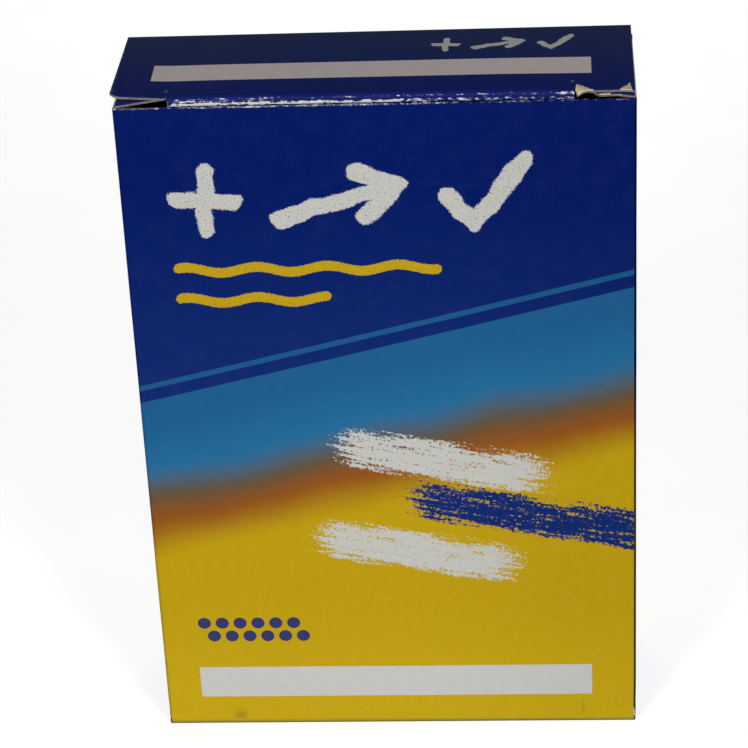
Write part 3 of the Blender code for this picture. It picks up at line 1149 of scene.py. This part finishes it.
def build_dust(end, side):
    x_side = -1 if side == "left" else 1
    crease = joint_axis(f"{end}_dust_fold_{side}")
    drop = height - crease[2] if end == "top" else crease[2]
    panel_end = height - side_high[2] if end == "top" else side_low[2]
    bend = math.pi / 2 - ENDS[end]["slope"]
    tangent = HINGE_RADIUS * math.tan(bend / 2)
    rise = panel_end - drop - tangent
    steps = [(rise, 0.0), (HINGE_RADIUS * bend, bend), (DUST_REACH - tangent, 0.0)]
    path = bent_path((half_width, -panel_end), math.pi / 2, steps)
    _, _, flat_from, last = path_marks(steps)
    frayed = end == "top" and side == "right"
    rows = flap_rows((0, flat_from, last), (7, 31, 7), DUST_ROUND)

    def reach(v):
        return np.maximum(v - flat_from + tangent, 0) * (v > flat_from - tangent)

    def tuck_side(v):
        edge = half_depth - board_wall - FLAP_CLEARANCE
        fray = np.interp(reach(v), FRAY_REACH, FRAY_OUT) * frayed
        return edge - reach(v) * DUST_FRONT_TAPER - rounded(v, last, DUST_ROUND) + fray

    def hinge_side(v):
        edge = half_depth - DUST_HINGE_INSET
        return edge - reach(v) * DUST_HINGE_TAPER - rounded(v, last, DUST_ROUND)

    low, high = (tuck_side, hinge_side) if x_side > 0 else (hinge_side, tuck_side)
    flat = grid(rows, lambda v: -low(v), high, across=28)
    lines = [(1, flat_from * 0.5, 0.8, DUST_WEAR[side])]
    left, past, wide, tall = DUST_TEAR
    tears = [(left, flat_from + past, wide, tall)] if frayed else []
    art = printed(f"print_{end}_dust_{side}", plain_art(SIDE_BLUE), lines, tears=tears)
    fold = flap_fold(end, (x_side, 0, 0), path)
    look = {"seed": 31.0 + 3 * x_side, "rounding": {"low": 0.0}}
    dust = board(f"{end}_dust_board_{side}", flat, fold, [art], **look)
    begin = crease - (0, 0, ENDS[end]["turn"] * CREASE_RADIUS)
    hang(dust, f"{end}_dust_flap_{side}", begin, crease - (x_side * CREASE_RADIUS, 0, 0))


# Crayons

CONE_LENGTH = 13.5
TIP_RADIUS = 1.3
TIP_HEIGHT = 0.7
BUTT_HOLLOW = [(0.8, 0.22), (1.6, 0.18)]  # radius and height
BUTT_EDGE = [(1.6, 0.02), (0.6, 0.0), (0.18, 0.16), (0.0, 0.6)]  # inset from the barrel, and height
BARREL_ENDS = (1.5, -0.8)  # above the butt, and from the shoulder
SHOULDER_EDGE = [(0.02, -0.3), (0.12, 0.15)]  # inset from the barrel, and height over the shoulder
CONE_ENDS = (0.5, -0.2)  # above the shoulder, and from the tip's round
CONE_INSET = 0.03
BARREL_RINGS, CONE_RINGS, TIP_RINGS, LABEL_RINGS = 22, 9, 5, 18
ROUND_STEPS = 44
CAST_WEAR = 0.04
CAST_WAVES = 0.03
PARTING_RISE = 0.03  # height of the mould's parting line
PARTING_HALF = 0.10  # its half width, as the sine of an angle
WRAP_GAP = 0.06
SEAM_STEP = 0.09
SEAM_ANGLES = (0.0, 0.012, 0.03)
SEAM_CLEAR = (0.09, 0.02)  # angles between the seam and the even steps, after and before it
SEAM_EDGE = 0.02
SEAM_RUN = 1.3  # angle over which the lap lies down again
RIM_DROP = 0.04
RIM_STEP = 0.05
LABEL_INSET = 0.02
LABEL_WAVES = (0.015, 0.01)  # outside and inside
WRAPPER_STRIPES = [(6.0, 7.0), (8.2, 8.8), (81.5, 82.1), (83.3, 84.3)]
WRAPPER_RIMS = [(4.2, 3.0), (89.8, 91.0)]
wax_half = np.subtract(*corners("wax_stick_01")[::-1])[0] / 2


def white_wax():
    """Cast white wax: faintly clouded and scuffed, with small pits."""
    cast = {"Subsurface_Weight": 0.12, "Subsurface_Scale": 1.5 * MM, "Subsurface_Radius": (1.0, 0.9, 0.75)}
    material, surface = shader("white_wax", Specular_IOR_Level=0.35, **cast)
    point = sheet_point(surface)
    cloud = point.noise(0.16, 4.0, 0.6)
    streaks = point.noise(0.9, 4.0, 0.6, stretch=(1.6, 0.14, 1.0))
    colour = paint(
        WAX_DARK,
        (cloud.rise(0.3, 0.7), WAX_LIGHT),
        (streaks.rise(0.56, 0.70) * 0.35, WAX_STREAK),
        (point.noise(2.2, 3.0).rise(0.62, 0.72) * 0.25, WAX_DUST),
    )
    pits = point.noise(1.7, 3.0).rise(0.34, 0.26)
    relief = streaks + point.noise(1.1, 4.0) - pits * 1.2
    coat(surface, colour, cloud * 0.25 + 0.36, relief, strength=0.6, depth=0.08)
    return material


def wrapper_print():
    """Blue paper with plain stripes near both ends and rubbed rims."""
    material, surface = shader("wrapper_print", Specular_IOR_Level=0.2)
    point = sheet_point(surface)
    along = point.split()[1]
    rims = most(*[along.rise(*rim) for rim in WRAPPER_RIMS])
    chips = rims * 0.2 + point.noise(0.9, 5.0, 0.66)
    colour = paint(
        WRAPPER_BLUE,
        (point.noise(0.2, 3.0), WRAPPER_PALE),
        *[(along.between(*stripe, 0.08), PAPER_WHITE) for stripe in WRAPPER_STRIPES],
        (chips.rise(0.74, 0.84), CHIP_WHITE),
    )
    fibre = point.noise(1.8, 5.0, 0.62, stretch=(1.0, 0.5, 1.0))
    coat(surface, colour, fibre * 0.2 + 0.42, fibre, strength=0.6, depth=0.04)
    return material


def turned_mesh(name, rings, flat, material, closed):
    """Quads between rings of points.

    A closed shape joins its last ring to its first, and an open one has its ends filled.
    """
    count, steps = rings.shape[:2]
    number = np.arange(count * steps).reshape(count, steps)
    upper = np.roll(number, -1, 0) if closed else number[1:]
    lower = number if closed else number[:-1]
    faces = stacked(lower, np.roll(lower, -1, 1), np.roll(upper, -1, 1), upper).reshape(-1, 4).tolist()
    if not closed:
        faces += [number[0, ::-1].tolist(), number[-1].tolist()]
    slots = np.zeros(len(faces), int)
    return add_mesh(name, rings.reshape(-1, 3), faces, slots, flat.reshape(-1, 3), None, [material])


def level_rings(middle, spread, angles, z):
    """Points of level rings round an upright axis."""
    return stacked(middle[0] + spread * np.cos(angles), middle[1] + spread * np.sin(angles), z)


def wax_rings(low, high, seed):
    """A cast stick: chamfered butt, straight barrel, softened shoulder, cone and blunt worn tip."""
    radius = (high[0] - low[0]) / 2
    length = high[2] - low[2]
    shoulder = length - CONE_LENGTH
    slope = (radius - TIP_RADIUS) / (CONE_LENGTH - TIP_HEIGHT)
    barrel = np.linspace(BARREL_ENDS[0], shoulder + BARREL_ENDS[1], BARREL_RINGS)
    cone = np.linspace(shoulder + CONE_ENDS[0], length - TIP_HEIGHT + CONE_ENDS[1], CONE_RINGS)
    profile = [*BUTT_HOLLOW, *[(radius - inset, z) for inset, z in BUTT_EDGE]]
    profile += [(radius, z) for z in barrel]
    profile += [(radius - inset, shoulder + z) for inset, z in SHOULDER_EDGE]
    profile += [(radius - CONE_INSET - slope * (z - shoulder), z) for z in cone]
    for a in np.linspace(0.1, 1.45, TIP_RINGS):
        profile.append((TIP_RADIUS * math.cos(a), length - TIP_HEIGHT * (1 - math.sin(a))))
    angles = np.arange(ROUND_STEPS) / ROUND_STEPS * 2 * math.pi
    parting = np.exp(-((np.sin(angles + seed) / PARTING_HALF) ** 2)) * PARTING_RISE
    spread, z = np.array(profile).T[..., None]
    waves = CAST_WAVES * smooth_noise(2 * np.cos(angles), 2 * np.sin(angles), z * 0.16 + seed * 9)
    worn = spread + (waves - CAST_WEAR + parting) * np.minimum(spread / radius, 1)
    flats = stacked(np.abs(angles - math.pi) * radius, z, seed * 13)
    return level_rings((low + high) / 2, worn, angles, low[2] + z), flats


def wrapper_rings(low, high, wax_base, seed):
    """A rolled label: its outer end laps over the inner one and leaves a step along the seam."""
    radius = (high[0] - low[0]) / 2
    tall = high[2] - low[2]
    even = np.linspace(0.5, tall - 0.5, LABEL_RINGS)
    heights = np.concatenate([[0, RIM_STEP], even, [tall - RIM_STEP, tall]])[:, None]
    even = np.linspace(SEAM_CLEAR[0], 2 * math.pi - SEAM_CLEAR[1], ROUND_STEPS)
    angles = np.concatenate([SEAM_ANGLES, even])
    lying = np.clip(1 - (angles - SEAM_EDGE) / SEAM_RUN, 0, 1)
    lap = np.where(angles > SEAM_EDGE, lying, 0.0) * SEAM_STEP
    waves = smooth_noise(np.cos(angles), np.sin(angles), heights * 0.12 + seed * 5)
    rim = np.minimum(heights, tall - heights) < RIM_DROP
    outer = radius - LABEL_INSET + lap + LABEL_WAVES[0] * waves - RIM_DROP * rim
    inner = wax_half + WRAP_GAP + LABEL_WAVES[1] * waves
    spread = np.concatenate([outer, inner[::-1]])
    z = np.concatenate([heights, heights[::-1]])
    flats = stacked(angles * radius, low[2] - wax_base + z, seed * 17)
    return level_rings((low + high) / 2, spread, angles + seed * 2.4, low[2] + z), flats


def build_crayons():
    wax, paper = white_wax(), wrapper_print()
    count = sum(name.startswith("wax_stick_") for name in frame["nodes"])
    for number in range(1, count + 1):
        seed = number * 0.37
        low, high = corners(f"wax_stick_{number:02d}")
        stick = turned_mesh(f"wax_{number:02d}", *wax_rings(low, high, seed), wax, False)
        rolled = wrapper_rings(*corners(f"paper_wrapper_{number:02d}"), low[2], seed)
        label = turned_mesh(f"wrapper_{number:02d}", *rolled, paper, True)
        pairs = ((stick, "wax_stick", "white_wax"), (label, "paper_wrapper", "wrapper_paper"))
        for piece, node, slot in pairs:
            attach(piece, f"crayon_{number:02d}")
            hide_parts(f"{node}_{number:02d}")


# Stage, light and camera

FLOOR_SIZE = 6.0  # metres, as the lights' distances are
FLOOR_TONES = ((0.80, 0.80, 0.80, 1), (0.84, 0.84, 0.84, 1))
FLOOR_GLOW = 0.86
LIGHT_DISTANCE = 1.4
LIGHTS = [  # azimuth and elevation in degrees, size and power
    ("left_key", -28, 18, 0.4, 7.7),
    ("right_key", 31, 18, 0.4, 7.7),
    ("left_back_fill", -142, 3, 0.8, 8.5),
    ("right_back_fill", 142, 3, 0.8, 8.5),
]
WORLD_STRENGTH = 0.06


def build_floor():
    bpy.ops.mesh.primitive_plane_add(size=FLOOR_SIZE)
    floor = bpy.context.object
    floor.name = "floor"
    glow = {"Roughness": 0.9, "Specular_IOR_Level": 0.1, "Emission_Strength": FLOOR_GLOW}
    material, surface = shader("pale_floor", **glow)
    place = add_node(surface.id_data, "TexCoord", {}, "Object")
    colour = mix(place.noise(40.0, 3.0), *FLOOR_TONES)
    feed(surface.inputs["Base Color"], colour)
    feed(surface.inputs["Emission Color"], colour)
    floor.data.materials.append(material)
    floor.visible_diffuse = False
    floor.visible_glossy = False


def add_light(name, azimuth, elevation, size, power):
    light = bpy.data.lights.new(name, "AREA")
    light.shape = "DISK"
    light.size = size
    light.energy = power
    obj = add_object(name, light)
    a, e = math.radians(azimuth), math.radians(elevation)
    out = np.array((math.sin(a) * math.cos(e), -math.cos(a) * math.cos(e), math.sin(e)))
    obj.location = np.array((0, 0, height / 2 * MM)) + out * LIGHT_DISTANCE
    obj.rotation_euler = (math.pi / 2 - e, 0, a)


def build_stage():
    build_floor()
    for light in LIGHTS:
        add_light(*light)
    world = bpy.data.worlds.new("studio")
    world.use_nodes = True
    background = world.node_tree.nodes["Background"]
    feed(background.inputs["Color"], (1, 1, 1, 1))
    feed(background.inputs["Strength"], WORLD_STRENGTH)
    scene = bpy.context.scene
    scene.world = world
    scene.view_settings.view_transform = "Standard"
    camera = bpy.data.cameras.new("camera")
    camera.lens = CAMERA_LENS
    camera.sensor_width = 36.0
    camera.clip_start = 0.01
    holder = add_object("camera", camera)
    holder.location = np.array(CAMERA_PLACE) * MM
    holder.rotation_euler = [math.radians(angle) for angle in CAMERA_TURN]
    scene.camera = holder


build_sleeve()
for end in ENDS:
    build_lid(end)
    build_tuck(end)
    for side in ("left", "right"):
        build_dust(end, side)
build_crayons()
build_stage()
